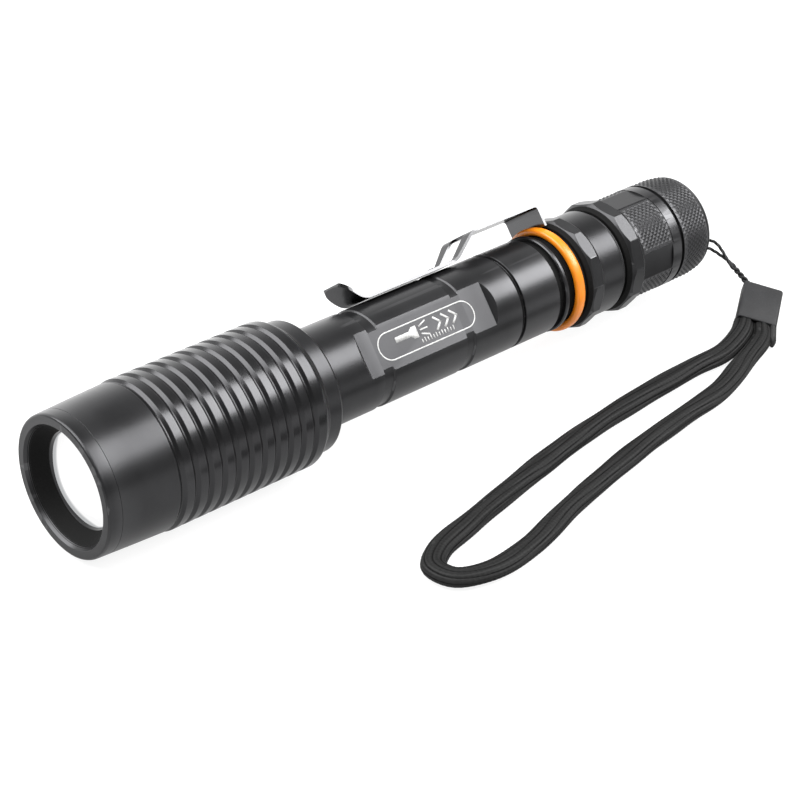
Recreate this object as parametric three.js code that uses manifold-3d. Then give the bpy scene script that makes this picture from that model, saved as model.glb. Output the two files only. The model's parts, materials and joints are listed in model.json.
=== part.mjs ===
// Zoomable tactical flashlight: two-cell aluminium tube light with a sliding focus head,
// steel pocket clip, rubber grip ring, screwed tail cap with a push button, and a wrist lanyard.
// Millimetres. The light's axis is the X axis with the lens facing -X and the tail facing +X.
// The origin is the centre of the flat top of the tail button. The light lies on its head ribs,
// rolled about its axis so that the clip points up and away and the label flat faces -Y.
//
// "Station" means distance along the axis from the front rim of the bezel. Pieces of the light
// are drawn in the light's own frame: +X along the stations, +Z towards the clip, -Y towards
// the label flat. The lanyard is drawn directly in the part's frame, lying on the floor.

import * as THREE from 'three';
import { mergeVertices } from 'three/addons/utils/BufferGeometryUtils.js';
import Module from 'manifold-3d';

const wasm = await Module();
wasm.setup();

// ---- driving dimensions -------------------------------------------------------------------

const OVERALL = 228.7; // bezel rim to the top of the tail button
const ROLL = THREE.MathUtils.degToRad(-37);
const SEGMENTS = 32; // facets round the large turned pieces
const FINE_SEGMENTS = 20; // facets round the small turned pieces
const GAP = 0.3; // clearance between neighbouring pieces

const RIB_RADIUS = 21;
const RIB_DEPTH = 0.75;
const RIB_PITCH = 4.36;
const RIB_GROOVES = 11;
const RIB_GROOVE_WIDTH = 2; // across the top
const RIB_GROOVE_SLOPE = 0.85; // axial length of each sloping wall
const FIRST_GROOVE = 22.4;
const HEAD_FRONT_RADIUS = 19.9;
const HEAD_REAR_RADIUS = 19.1;
const HEAD_SHOULDER = 70.2; // station where the ribbed part ends
const HEAD_END = 77.5;
const HEAD_BORE = 17;
const HEAD_REAR_BORE = 14.6;
const BEZEL_END = 3.8;
const BEZEL_THREAD_RADIUS = 18.2;
const BEZEL_OPENING = 17.1;
const LENS_APERTURE = 13.6;
const LENS_DOME_RADIUS = 22.4;
const LENS_EDGE_RADIUS = 13.2;
const LENS_FLANGE_RADIUS = 15;
const LENS_BACK = 11.9;

const TUBE_RADIUS = 14.2;
const TUBE_FRONT = 16.4;
const TUBE_END = 198;
const THREAD_RADIUS = 13.2;
const THREAD_BORE = 13.5;
const CELL_BORE = 9.6;
const PILL_BORE = 12.2;
const CELL_RADIUS = 9.15;
const CELL_LENGTH = 65;
const FRONT_CELL = 52.4;
const FLANGE_RADIUS = 16.6; // piston on the tube that guides the sliding head
const FLANGE_START = 44;
const FLANGE_END = 55.7;
const MILLED_START = 90.3;
const MILLED_END = 140;
const MILLED_DEPTH = 1.6;
const TUBE_GROOVE_DEPTH = 0.5;
const TUBE_GROOVES = [[96.2, 100.2], [126.9, 130.4], [148.3, 150.3]];

const CLIP_SHEET = 0.8;
const CLIP_WIDTH = 16;
const CLIP_BLADE_WIDTH = 11.6;
const CLIP_TOP = 20.6; // height of the raised arm above the axis
const CLIP_BLADE_HEIGHT = 14.8;
const CLIP_PLATE = 173.4;

const COLLAR_START = 174.2;
const COLLAR_END = 188.9;
const GRIP_RADIUS = 15.65;
const FACETS = 12;

const CAP_START = 190.5;
const CAP_END = 227.7;
const CAP_RECESS_RADIUS = 10.4;
const BOOT_RADIUS = 7.4;
const BOOT_HOLE = 7.7;

const FLOOR = -RIB_RADIUS;
const STRAP_WIDTH = 6.2;
const STRAP_THICKNESS = 4.6;
const CORD_RADIUS = 0.45;
const CLAMP_LENGTH = 16.5;
const CLAMP_WIDTH = 12.2;
const CLAMP_THICKNESS = 5;
const CLAMP_HEADING = THREE.MathUtils.degToRad(34);
const CLAMP_PITCH = THREE.MathUtils.degToRad(12);
const CLAMP_ROLL = THREE.MathUtils.degToRad(13);
const CORD_ANGLE = THREE.MathUtils.degToRad(145); // round the axis from the clip towards the label

// ---- mesh helpers -------------------------------------------------------------------------

// Shares equal corners, drops triangles that have shrunk to nothing and turns faces outwards.
function closed(geometry) {
  const plain = new THREE.BufferGeometry();
  plain.setAttribute('position', geometry.getAttribute('position'));
  plain.setIndex(geometry.getIndex());
  const merged = mergeVertices(plain, 1e-4);
  const source = merged.getIndex().array;
  const position = merged.getAttribute('position');
  const corner = [new THREE.Vector3(), new THREE.Vector3(), new THREE.Vector3()];
  const kept = [];
  let volume = 0;
  for (let i = 0; i < source.length; i += 3) {
    const [a, b, c] = [source[i], source[i + 1], source[i + 2]];
    if (a === b || b === c || c === a) continue;
    kept.push(a, b, c);
    [a, b, c].forEach((vertex, k) => corner[k].fromBufferAttribute(position, vertex));
    volume += corner[0].dot(corner[1].clone().cross(corner[2]));
  }
  if (volume < 0) kept.reverse();
  merged.setIndex(kept);
  return merged;
}

function toSolid(geometry) {
  const mesh = closed(geometry);
  return new wasm.Manifold(new wasm.Mesh({
    numProp: 3,
    vertProperties: new Float32Array(mesh.getAttribute('position').array),
    triVerts: new Uint32Array(mesh.getIndex().array),
  }));
}

function toGeometry(solid) {
  const mesh = solid.getMesh();
  const geometry = new THREE.BufferGeometry();
  geometry.setAttribute('position', new THREE.BufferAttribute(mesh.vertProperties, 3));
  geometry.setIndex(new THREE.BufferAttribute(mesh.triVerts, 1));
  return geometry;
}

function cut(geometry, ...tools) {
  let solid = toSolid(geometry);
  for (const tool of tools) solid = solid.subtract(toSolid(tool));
  return toGeometry(solid);
}

function join(...geometries) {
  let solid = toSolid(geometries[0]);
  for (const other of geometries.slice(1)) solid = solid.add(toSolid(other));
  return toGeometry(solid);
}

function common(geometry, other) {
  return toGeometry(toSolid(geometry).intersect(toSolid(other)));
}

// Turned piece from an outline of [station, radius] points. An outline that leaves the axis
// and comes back to it makes a solid piece; any other outline is closed to make a ring.
function turned(outline, segments = SEGMENTS) {
  const onAxis = outline[0][1] === 0;
  const loop = onAxis ? outline : [...outline, outline[0]];
  const points = loop.map(([station, radius]) => new THREE.Vector2(radius, station));
  const geometry = new THREE.LatheGeometry(points, segments);
  geometry.rotateZ(-Math.PI / 2);
  return closed(geometry);
}

function ring(start, end, inner, outer, segments = SEGMENTS) {
  return turned([[start, inner], [start, outer], [end, outer], [end, inner]], segments);
}

function disc(start, end, radius, segments = FINE_SEGMENTS) {
  return turned([[start, 0], [start, radius], [end, radius], [end, 0]], segments);
}

// Rubber ring with a six-sided section that bulges at its middle.
function sealRing(start, end, inner, outer) {
  const middle = (start + end) / 2;
  const bevel = (outer - inner) * 0.25;
  return turned([
    [start, inner + bevel], [start, outer - bevel], [middle, outer],
    [end, outer - bevel], [end, inner + bevel], [middle, inner],
  ], FINE_SEGMENTS);
}

// Regular prism along the axis, with a corner pointing at the clip.
function facetPrism(start, end, apothem) {
  const radius = apothem / Math.cos(Math.PI / FACETS);
  const geometry = new THREE.CylinderGeometry(radius, radius, end - start, FACETS);
  geometry.rotateZ(-Math.PI / 2);
  geometry.rotateX(Math.PI / 2);
  geometry.translate((start + end) / 2, 0, 0);
  return geometry;
}

// Straight rod between two points, used as a drill.
function rod(from, to, radius, segments = 12) {
  const along = to.clone().sub(from);
  const geometry = new THREE.CylinderGeometry(radius, radius, along.length(), segments);
  const turn = new THREE.Quaternion().setFromUnitVectors(
    new THREE.Vector3(0, 1, 0), along.clone().normalize());
  geometry.applyQuaternion(turn);
  geometry.translate(...from.clone().add(to).multiplyScalar(0.5).toArray());
  return geometry;
}

function box(size, centre) {
  const geometry = new THREE.BoxGeometry(...size);
  geometry.translate(...centre);
  return geometry;
}

// Solid swept along a curve; the section is an ellipse with the given half sizes.
function swept(curve, steps, halfHeight, halfWidth, sides) {
  const section = new THREE.Shape();
  section.absellipse(0, 0, halfHeight, halfWidth, 0, Math.PI * 2);
  return closed(new THREE.ExtrudeGeometry(section, {
    extrudePath: curve,
    steps,
    curveSegments: sides / 2,
    bevelEnabled: false,
  }));
}

// Point on the light, in the part's frame: station, distance from the axis, and angle round
// the axis from the clip towards the label flat.
function onLight(station, radius, angle) {
  const point = new THREE.Vector3(0, -radius * Math.sin(angle), radius * Math.cos(angle));
  point.applyAxisAngle(new THREE.Vector3(1, 0, 0), ROLL);
  point.x = station - OVERALL;
  return point;
}

// ---- materials ----------------------------------------------------------------------------

function finish(color, roughness, metalness) {
  return () => new THREE.MeshStandardMaterial({ color, roughness, metalness });
}

const anodised = finish(0x34363a, 0.42, 0.85);
const steel = finish(0xb9bcc0, 0.25, 1);
const springWire = finish(0xc8b070, 0.35, 1);
const blackRubber = finish(0x161616, 0.8, 0);
const orangeRubber = finish(0xf58a14, 0.4, 0);
const clearGlass = finish(0xeef4f6, 0.05, 0);
const brass = finish(0xb8934a, 0.35, 1);
const whitePlastic = finish(0xe8e8e2, 0.5, 0);
const phosphor = finish(0xf2dc4e, 0.4, 0);
const circuitBoard = finish(0x1f5a36, 0.55, 0);
const cellWrap = finish(0x2f6fae, 0.4, 0);
const switchPlastic = finish(0x202022, 0.5, 0);
const strapFabric = finish(0x1d1d1e, 0.95, 0);
const clampPlastic = finish(0x4a4a4c, 0.6, 0);

const light = new THREE.Group();
light.rotation.x = ROLL;
light.position.x = -OVERALL;
const lanyard = new THREE.Group();

function add(group, name, geometry, material) {
  const mesh = new THREE.Mesh(geometry, material());
  mesh.name = name;
  group.add(mesh);
  return mesh;
}

// ---- head ---------------------------------------------------------------------------------

function bezelRing() {
  return turned([
    [0, BEZEL_OPENING], [0, 19.3], [0.5, 19.75], [BEZEL_END, HEAD_FRONT_RADIUS],
    [BEZEL_END, BEZEL_THREAD_RADIUS], [11.5, BEZEL_THREAD_RADIUS], [11.5, 15.4], [7.2, 15.4],
    [7.2, LENS_APERTURE], [5.7, LENS_APERTURE],
  ]);
}

// Plano-convex lens: dome to the front, square flange held behind the bezel's lip.
function lens() {
  const domeSteps = 6;
  const edge = 6.4;
  const slope = Math.asin(LENS_EDGE_RADIUS / LENS_DOME_RADIUS);
  const centre = edge + LENS_DOME_RADIUS * Math.cos(slope);
  const outline = [];
  for (let i = 0; i <= domeSteps; i += 1) {
    const angle = slope * i / domeSteps;
    const radius = i === 0 ? 0 : LENS_DOME_RADIUS * Math.sin(angle);
    outline.push([centre - LENS_DOME_RADIUS * Math.cos(angle), radius]);
  }
  outline.push([8.7, LENS_EDGE_RADIUS], [8.7, LENS_FLANGE_RADIUS]);
  outline.push([LENS_BACK, LENS_FLANGE_RADIUS], [LENS_BACK, 0]);
  return turned(outline, FINE_SEGMENTS);
}

// Sliding focus sleeve: smooth flared front, turned ribs, reduced rear end.
function headSleeve() {
  const outline = [[BEZEL_END + GAP, HEAD_FRONT_RADIUS]];
  let land = RIB_RADIUS - 0.35;
  for (let i = 0; i < RIB_GROOVES; i += 1) {
    const start = FIRST_GROOVE + i * RIB_PITCH - RIB_GROOVE_WIDTH / 2;
    const end = start + RIB_GROOVE_WIDTH;
    outline.push([start, land], [start + RIB_GROOVE_SLOPE, RIB_RADIUS - RIB_DEPTH]);
    outline.push([end - RIB_GROOVE_SLOPE, RIB_RADIUS - RIB_DEPTH], [end, RIB_RADIUS]);
    land = RIB_RADIUS;
  }
  outline.push([HEAD_SHOULDER, RIB_RADIUS], [HEAD_SHOULDER + 2, HEAD_REAR_RADIUS]);
  outline.push([HEAD_END - 1, HEAD_REAR_RADIUS], [HEAD_END, HEAD_REAR_RADIUS - 1]);
  outline.push([HEAD_END, HEAD_REAR_BORE], [68, HEAD_REAR_BORE], [68, HEAD_BORE]);
  outline.push([11.9, HEAD_BORE], [11.9, BEZEL_THREAD_RADIUS + GAP]);
  outline.push([BEZEL_END + GAP, BEZEL_THREAD_RADIUS + GAP]);
  return turned(outline);
}

add(light, 'bezel_ring', bezelRing(), anodised);
add(light, 'lens_seal', sealRing(7.5, 8.4, 13.7, 15.1), blackRubber);
add(light, 'lens', lens(), clearGlass);
add(light, 'lens_retainer', ring(12.2, 15.9, 12.8, 16.7), anodised);
add(light, 'head_sleeve', headSleeve(), anodised);
add(light, 'zoom_o_ring', sealRing(48.4, 51.2, 15.8, 16.85), blackRubber);

// ---- light engine -------------------------------------------------------------------------

function ledPill() {
  const body = turned([
    [21.5, 0], [21.5, 10.8], [17, 10.8], [17, 11.9], [44, 11.9], [44, 9.6], [24.5, 9.6], [24.5, 0],
  ], FINE_SEGMENTS);
  const wireHoles = [-7.5, 7.5].map((offset) => rod(
    new THREE.Vector3(20, offset, 0), new THREE.Vector3(26, offset, 0), 0.9, 8));
  return cut(body, ...wireHoles);
}

// LED package with its domed primary lens.
function ledEmitter() {
  return turned([
    [16.9, 0], [17.2, 1.3], [17.9, 2.2], [18.6, 2.5], [18.6, 3.4], [19.4, 3.4], [19.4, 0],
  ], FINE_SEGMENTS);
}

// Conical contact spring wound about the axis.
class CoilCurve extends THREE.Curve {
  constructor(start, end, startRadius, endRadius, turns) {
    super();
    Object.assign(this, { start, end, startRadius, endRadius, turns });
  }

  getPoint(t, target = new THREE.Vector3()) {
    const radius = THREE.MathUtils.lerp(this.startRadius, this.endRadius, t);
    const angle = t * this.turns * Math.PI * 2;
    const station = THREE.MathUtils.lerp(this.start, this.end, t);
    return target.set(station, radius * Math.cos(angle), radius * Math.sin(angle));
  }
}

function coil(start, end, startRadius, endRadius, turns) {
  const wire = 0.5;
  const curve = new CoilCurve(start + wire, end - wire, startRadius, endRadius, turns);
  return swept(curve, turns * 10, wire, wire, 6);
}

add(light, 'led_pill', ledPill(), brass);
add(light, 'led_board', disc(19.7, 21.2, 10.4), whitePlastic);
add(light, 'led_emitter', ledEmitter(), phosphor);
add(light, 'led_insulator', ring(18, 19.4, 3.9, 10.4, FINE_SEGMENTS), whitePlastic);
add(light, 'driver_board', disc(41.6, 43.2, 9.2), circuitBoard);
add(light, 'driver_spring', coil(43.6, 52, 5.6, 3.4, 4), springWire);

// ---- tube and cells -----------------------------------------------------------------------

// One-piece body tube with its piston flange, outer grooves, milled flats and rear thread.
function bodyTube() {
  const outline = [[TUBE_FRONT, TUBE_RADIUS - 0.3], [TUBE_FRONT + 0.3, TUBE_RADIUS]];
  outline.push([FLANGE_START, TUBE_RADIUS], [FLANGE_START, FLANGE_RADIUS]);
  outline.push([48, FLANGE_RADIUS], [48, 15.5], [51.6, 15.5], [51.6, FLANGE_RADIUS]);
  outline.push([FLANGE_END, FLANGE_RADIUS], [FLANGE_END, TUBE_RADIUS]);
  for (const [start, end] of TUBE_GROOVES) {
    outline.push([start, TUBE_RADIUS], [start + 0.2, TUBE_RADIUS - TUBE_GROOVE_DEPTH]);
    outline.push([end - 0.4, TUBE_RADIUS - TUBE_GROOVE_DEPTH], [end, TUBE_RADIUS]);
  }
  outline.push([163.5, TUBE_RADIUS], [163.7, 13.5], [166, 13.5], [166, 14.5], [167.4, 14.5]);
  outline.push([167.4, THREAD_RADIUS], [188.8, THREAD_RADIUS], [188.8, 12.2]);
  outline.push([190.4, 12.2], [190.4, THREAD_RADIUS], [TUBE_END, THREAD_RADIUS]);
  outline.push([TUBE_END, CELL_BORE], [44.4, CELL_BORE], [44.4, PILL_BORE]);
  outline.push([TUBE_FRONT, PILL_BORE]);
  return cut(turned(outline), milledFlat(1), milledFlat(-1));
}

// Cutter for a flat whose end walls slope at 45 degrees; side is -1 for the label flat.
function milledFlat(side) {
  const depth = TUBE_RADIUS - MILLED_DEPTH;
  const reach = 4;
  const outline = new THREE.Shape();
  outline.moveTo(MILLED_START + MILLED_DEPTH, depth);
  outline.lineTo(MILLED_END - MILLED_DEPTH, depth);
  outline.lineTo(MILLED_END - MILLED_DEPTH + reach, depth + reach);
  outline.lineTo(MILLED_START + MILLED_DEPTH - reach, depth + reach);
  outline.closePath();
  const width = TUBE_RADIUS * 2;
  const geometry = new THREE.ExtrudeGeometry(outline, { depth: width, bevelEnabled: false });
  geometry.translate(0, 0, -width / 2);
  if (side < 0) geometry.rotateX(Math.PI);
  return geometry;
}

// Cylindrical cell with its raised positive contact towards the head.
function cell(start) {
  const end = start + CELL_LENGTH;
  return turned([
    [start, 0], [start, 3.2], [start + 0.9, 3.2], [start + 0.9, 8.6], [start + 1.5, CELL_RADIUS],
    [end - 0.5, CELL_RADIUS], [end, 8.7], [end, 0],
  ], FINE_SEGMENTS);
}

add(light, 'body_tube', bodyTube(), anodised);
add(light, 'battery_front', cell(FRONT_CELL), cellWrap);
add(light, 'battery_rear', cell(FRONT_CELL + CELL_LENGTH + GAP), cellWrap);
add(light, 'grip_ring', sealRing(169.7, 172.8, 13.5, 15.75), orangeRubber);

// ---- pocket clip --------------------------------------------------------------------------

// Outline of bent sheet: the centre line offset to both sides by half the sheet's thickness.
function sheetOutline(points, thickness) {
  const left = [];
  const right = [];
  points.forEach((point, i) => {
    const before = points[Math.max(i - 1, 0)];
    const after = points[Math.min(i + 1, points.length - 1)];
    const incoming = point.clone().sub(before).normalize();
    const outgoing = after.clone().sub(point).normalize();
    const along = incoming.add(outgoing).normalize();
    const stretch = i > 0 && i < points.length - 1 ? 1 / along.dot(outgoing) : 1;
    const offset = new THREE.Vector2(-along.y, along.x).multiplyScalar(stretch * thickness / 2);
    left.push(point.clone().add(offset));
    right.push(point.clone().sub(offset));
  });
  return new THREE.Shape([...left, ...right.reverse()]);
}

// Side profile as [station, height above the axis], from the plate to the turned-up lip.
const CLIP_LINE = [
  [CLIP_PLATE, 14.1], [CLIP_PLATE, CLIP_TOP - 0.9], [CLIP_PLATE - 0.9, CLIP_TOP],
  [148, CLIP_TOP], [140, CLIP_BLADE_HEIGHT], [106.8, CLIP_BLADE_HEIGHT], [105.1, 15.5],
  [103.9, 16.6], [100.1, 21.2],
];

// Plan view: wide at the plate, tapering along the ramp to the narrower blade and round tip.
function clipPlan() {
  const half = CLIP_WIDTH / 2;
  const blade = CLIP_BLADE_WIDTH / 2;
  const plan = new THREE.Shape();
  plan.moveTo(CLIP_PLATE + 1, half);
  plan.lineTo(150, half);
  plan.lineTo(139, blade);
  plan.lineTo(103, blade);
  plan.quadraticCurveTo(99.6, blade, 99.6, 0);
  plan.quadraticCurveTo(99.6, -blade, 103, -blade);
  plan.lineTo(139, -blade);
  plan.lineTo(150, -half);
  plan.lineTo(CLIP_PLATE + 1, -half);
  plan.closePath();
  return new THREE.ExtrudeGeometry(plan, { depth: 12, bevelEnabled: false, curveSegments: 5 });
}

function pocketClip() {
  const line = CLIP_LINE.map(([station, height]) => new THREE.Vector2(station, height));
  const strip = new THREE.ExtrudeGeometry(sheetOutline(line, CLIP_SHEET), {
    depth: CLIP_WIDTH + 2,
    bevelEnabled: false,
  });
  strip.rotateX(Math.PI / 2);
  strip.translate(0, (CLIP_WIDTH + 2) / 2, 0);
  const plan = clipPlan();
  plan.translate(0, 0, 12);
  const plate = ring(CLIP_PLATE - CLIP_SHEET / 2, CLIP_PLATE + CLIP_SHEET / 2, THREAD_BORE, 14.7);
  const rampWindow = box([9, 6.6, 9], [144.4, 0, 18]);
  return cut(join(common(strip, plan), plate), rampWindow);
}

add(light, 'pocket_clip', pocketClip(), steel);

// ---- rear collar and tail cap -------------------------------------------------------------

// Screwed collar that locks the clip: twelve-sided front band, smooth rear.
function rearCollar() {
  const body = turned([
    [COLLAR_START, 15.2], [COLLAR_START + 2.1, 16.85], [178.8, 16.85], [180.3, GRIP_RADIUS],
    [COLLAR_END - 0.4, GRIP_RADIUS], [COLLAR_END, GRIP_RADIUS - 0.4], [COLLAR_END, THREAD_BORE],
    [COLLAR_START, THREAD_BORE],
  ]);
  return common(body, facetPrism(COLLAR_START - 1, COLLAR_END + 1, 16.3));
}

function tailCap() {
  const body = turned([
    [CAP_START, 15.2], [CAP_START + 2.2, 17.1], [195.7, 17.1], [197.4, GRIP_RADIUS],
    [213.9, GRIP_RADIUS], [213.9, 15.1], [214.7, 15.1], [214.7, GRIP_RADIUS],
    [222.4, GRIP_RADIUS], [225.4, 15.3], [CAP_END, 14.5], [CAP_END, CAP_RECESS_RADIUS],
    [221.6, CAP_RECESS_RADIUS], [221.6, BOOT_HOLE], [216.8, BOOT_HOLE], [216.8, 11.3],
    [212.7, 11.3], [212.7, THREAD_BORE], [CAP_START, THREAD_BORE],
  ]);
  const faceted = common(body, facetPrism(CAP_START - 1, CAP_END + 1, 16.55));
  const flats = [35, 125, 215, 305].map((degrees) => {
    const slab = box([12.4, 20, 4], [203.8, 0, 15.15 + 2]);
    slab.rotateX(THREE.MathUtils.degToRad(degrees));
    return slab;
  });
  return cut(faceted, ...flats, lanyardHole());
}

// Hole for the cord: from the end face, slanting in to the button recess.
function lanyardHole() {
  const direction = (station, radius) => new THREE.Vector3(
    station, -radius * Math.sin(CORD_ANGLE), radius * Math.cos(CORD_ANGLE));
  return rod(direction(229, 13.7), direction(222.6, 9.5), 0.95);
}

// Switch boot: flange inside the cap, hollow dome with a flat top.
function switchBoot() {
  return turned([
    [OVERALL, 0], [OVERALL, 4.6], [OVERALL - 0.5, 6.2], [OVERALL - 1.8, BOOT_RADIUS - 0.2],
    [OVERALL - 3, BOOT_RADIUS], [216.4, BOOT_RADIUS], [216.4, 10.8], [214.8, 10.8], [214.8, 6.2],
    [226.2, 6], [227, 5], [227, 0],
  ], FINE_SEGMENTS);
}

add(light, 'rear_collar', rearCollar(), anodised);
add(light, 'tail_o_ring', sealRing(189.05, 190.15, 12.5, 14.9), blackRubber);
add(light, 'tail_cap', tailCap(), anodised);
add(light, 'switch_boot', switchBoot(), blackRubber);
add(light, 'switch_plunger', disc(211.4, 226.7, 3.5), whitePlastic);
add(light, 'switch_retainer', ring(209.4, 212.4, 6, 13.1, FINE_SEGMENTS), anodised);
add(light, 'tail_switch', box([8.6, 15, 15], [204.6, 0, 0]), switchPlastic);
add(light, 'switch_board', disc(198.4, 200, 12.6), circuitBoard);
add(light, 'tail_spring', coil(183.1, 198.1, 3.6, 6.4, 5), springWire);

// ---- lanyard ------------------------------------------------------------------------------

const clampAxis = new THREE.Vector3(
  Math.cos(CLAMP_PITCH) * Math.cos(CLAMP_HEADING),
  Math.cos(CLAMP_PITCH) * Math.sin(CLAMP_HEADING),
  Math.sin(CLAMP_PITCH),
);
const clampAcross = new THREE.Vector3(Math.sin(CLAMP_HEADING), -Math.cos(CLAMP_HEADING), 0)
  .applyAxisAngle(clampAxis, CLAMP_ROLL);
const clampMouth = new THREE.Vector3(-8.5, -40.2, FLOOR + 4); // where the strap comes out

// Point near the clamp: distance along its axis from the strap end, and distance across it.
function nearClamp(along, across) {
  return clampMouth.clone().addScaledVector(clampAxis, along).addScaledVector(clampAcross, across);
}

// Crimped plastic clamp with bevelled long edges.
function lanyardClamp() {
  const half = CLAMP_WIDTH / 2;
  const rise = CLAMP_THICKNESS / 2;
  const bevel = 0.7;
  const section = new THREE.Shape();
  section.moveTo(-half, -rise + bevel);
  section.lineTo(-half + bevel, -rise);
  section.lineTo(half - bevel, -rise);
  section.lineTo(half, -rise + bevel);
  section.lineTo(half, rise - bevel);
  section.lineTo(half - bevel, rise);
  section.lineTo(-half + bevel, rise);
  section.lineTo(-half, rise - bevel);
  section.closePath();
  const geometry = new THREE.ExtrudeGeometry(section, { depth: CLAMP_LENGTH, bevelEnabled: false });
  const thicknessAxis = clampAxis.clone().cross(clampAcross).normalize();
  geometry.applyMatrix4(new THREE.Matrix4().makeBasis(clampAcross, thicknessAxis, clampAxis));
  geometry.translate(...clampMouth.toArray());
  return geometry;
}

// Braided strap: one long loop on the floor whose two ends meet side by side at the clamp.
function wristStrap() {
  const rest = FLOOR + STRAP_THICKNESS / 2;
  const legOffset = STRAP_WIDTH / 2 + 0.25;
  const floorPoints = [
    [-22.8, -41], [-39, -42.3], [-68, -45.2], [-96, -49], [-124, -55], [-144, -59.8],
    [-159, -64], [-165, -69], [-164, -75.5], [-155.5, -79.2], [-140, -78], [-119.5, -72],
    [-89, -64.2], [-62, -59], [-38, -53.6], [-20.5, -48.3],
  ].map(([x, y]) => new THREE.Vector3(x, y, rest));
  const curve = new THREE.CatmullRomCurve3([
    nearClamp(-GAP, -legOffset), nearClamp(-3, -legOffset), ...floorPoints,
    nearClamp(-3, legOffset), nearClamp(-GAP, legOffset),
  ], false, 'centripetal');
  return swept(curve, 48, STRAP_THICKNESS / 2, STRAP_WIDTH / 2, 10);
}

// Thin cord: from the clamp through the slanting hole in the tail cap and back to the clamp.
function tetherCord() {
  const entry = -CLAMP_WIDTH / 2 + 2;
  const curve = new THREE.CatmullRomCurve3([
    nearClamp(CLAMP_LENGTH + 1.5, entry + 0.8),
    onLight(231.2, 17, CORD_ANGLE + 0.06),
    onLight(229, 13.7, CORD_ANGLE),
    onLight(227.2, 12.5, CORD_ANGLE),
    onLight(224.2, 10.55, CORD_ANGLE),
    onLight(223.4, 9.5, CORD_ANGLE),
    onLight(224.1, 8.7, CORD_ANGLE),
    onLight(226, 8.7, CORD_ANGLE),
    onLight(229, 9.8, CORD_ANGLE - 0.06),
    onLight(231.2, 14, CORD_ANGLE - 0.11),
    nearClamp(CLAMP_LENGTH + 1.5, entry - 0.8),
  ], false, 'centripetal');
  return swept(curve, 44, CORD_RADIUS, CORD_RADIUS, 6);
}

add(lanyard, 'tether_cord', tetherCord(), strapFabric);
add(lanyard, 'lanyard_clamp', lanyardClamp(), clampPlastic);
add(lanyard, 'wrist_strap', wristStrap(), strapFabric);

const flashlight = new THREE.Group();
flashlight.add(light, lanyard);

export default flashlight;
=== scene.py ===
"""Looks of the zoomable tactical flashlight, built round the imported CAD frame.

Pieces of the light are drawn in the light's own frame, in millimetres: x is the station, counted
from the front rim towards the tail, +z points at the clip and -y at the label flat. LIGHT takes
them to the row frame in metres. The lanyard is drawn straight in row millimetres.
"""

import json
import math

import bmesh
import bpy
from mathutils import Matrix, Vector

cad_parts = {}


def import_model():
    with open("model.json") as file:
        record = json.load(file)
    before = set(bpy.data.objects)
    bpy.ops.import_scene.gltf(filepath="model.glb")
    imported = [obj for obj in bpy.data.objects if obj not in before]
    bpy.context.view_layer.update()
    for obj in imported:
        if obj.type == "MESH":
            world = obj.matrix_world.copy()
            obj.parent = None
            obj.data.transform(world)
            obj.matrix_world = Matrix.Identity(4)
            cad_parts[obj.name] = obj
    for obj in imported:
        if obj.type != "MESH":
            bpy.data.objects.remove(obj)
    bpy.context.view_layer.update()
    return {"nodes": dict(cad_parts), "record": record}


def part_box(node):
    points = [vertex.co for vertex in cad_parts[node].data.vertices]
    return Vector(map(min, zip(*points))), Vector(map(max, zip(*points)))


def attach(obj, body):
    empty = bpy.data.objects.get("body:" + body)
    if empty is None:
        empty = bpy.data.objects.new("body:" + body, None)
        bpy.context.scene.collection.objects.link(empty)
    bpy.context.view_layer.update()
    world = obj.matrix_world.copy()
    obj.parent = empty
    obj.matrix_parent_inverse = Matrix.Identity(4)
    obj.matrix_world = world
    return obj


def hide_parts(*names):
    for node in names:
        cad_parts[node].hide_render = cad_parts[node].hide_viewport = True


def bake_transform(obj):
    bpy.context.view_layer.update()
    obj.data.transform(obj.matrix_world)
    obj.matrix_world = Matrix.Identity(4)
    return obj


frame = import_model()

TAU = math.tau
MM = 0.001
ROLL = math.radians(-37)
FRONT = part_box("bezel_ring")[0].x
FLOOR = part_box("head_sleeve")[0].z
LIGHT = Matrix.Translation((FRONT, 0, 0)) @ Matrix.Rotation(ROLL, 4, "X") @ Matrix.Scale(MM, 4)
ROW = Matrix.Scale(MM, 4)


def station(row_x):
    """Station in millimetres of a row x in metres."""
    return (row_x - FRONT) / MM


def span(node):
    """First and last station of a CAD node."""
    low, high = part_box(node)
    return station(low.x), station(high.x)


# ---- driving sizes, in millimetres ----------------------------------------------------------

ROUND = 180  # facets round a large turned piece
RIB_RADIUS = 21.0
RIB_DEPTH = 0.75
RIB_PITCH = 4.36
RIB_GROOVES = 11
FRONT_LAND_DROP = 0.35  # the land in front of the first groove lies this much lower
RIB_GROOVE_HALF = 1.0  # half width of a groove across its top
RIB_GROOVE_FLOOR = 0.15  # half width of its floor
FIRST_GROOVE = 22.4
HEAD_SHOULDER = 70.2
HEAD_FRONT_RADIUS = 19.9
HEAD_REAR_RADIUS = 19.1
LENS_RADIUS = 13.2
LENS_DOME = 22.4  # radius of the dome's curve
TUBE_RADIUS = 14.2
THREAD_RADIUS = 13.2
THREAD_START = 167.2
THREAD_BORE = 13.5
MILLED_START = 90.3
MILLED_END = 140.0
MILLED_DEPTH = 1.6
FLAT_DEPTH = TUBE_RADIUS - MILLED_DEPTH  # the label flat's distance from the axis
TUBE_GROOVES = (  # start, end, rear slope, depth
    (96.2, 100.2, 0.7, 0.5),
    (126.9, 130.4, 0.7, 0.5),
    (148.5, 150.1, 0.3, 0.85),
)
PRINT_HEIGHT = 0.04
GROOVE_START = 163.5  # seal groove under the orange ring
GROOVE_END = 166.0
GRIP_RADIUS = 15.65
FACETS = 12
COLLAR_APOTHEM = 16.3
CAP_APOTHEM = 16.55
SHADE_PAINTED_CHAMFER = 1.1  # part of the front chamfers painted black as shade in the seam
SHEET = 0.8  # thickness of the clip's steel
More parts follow.
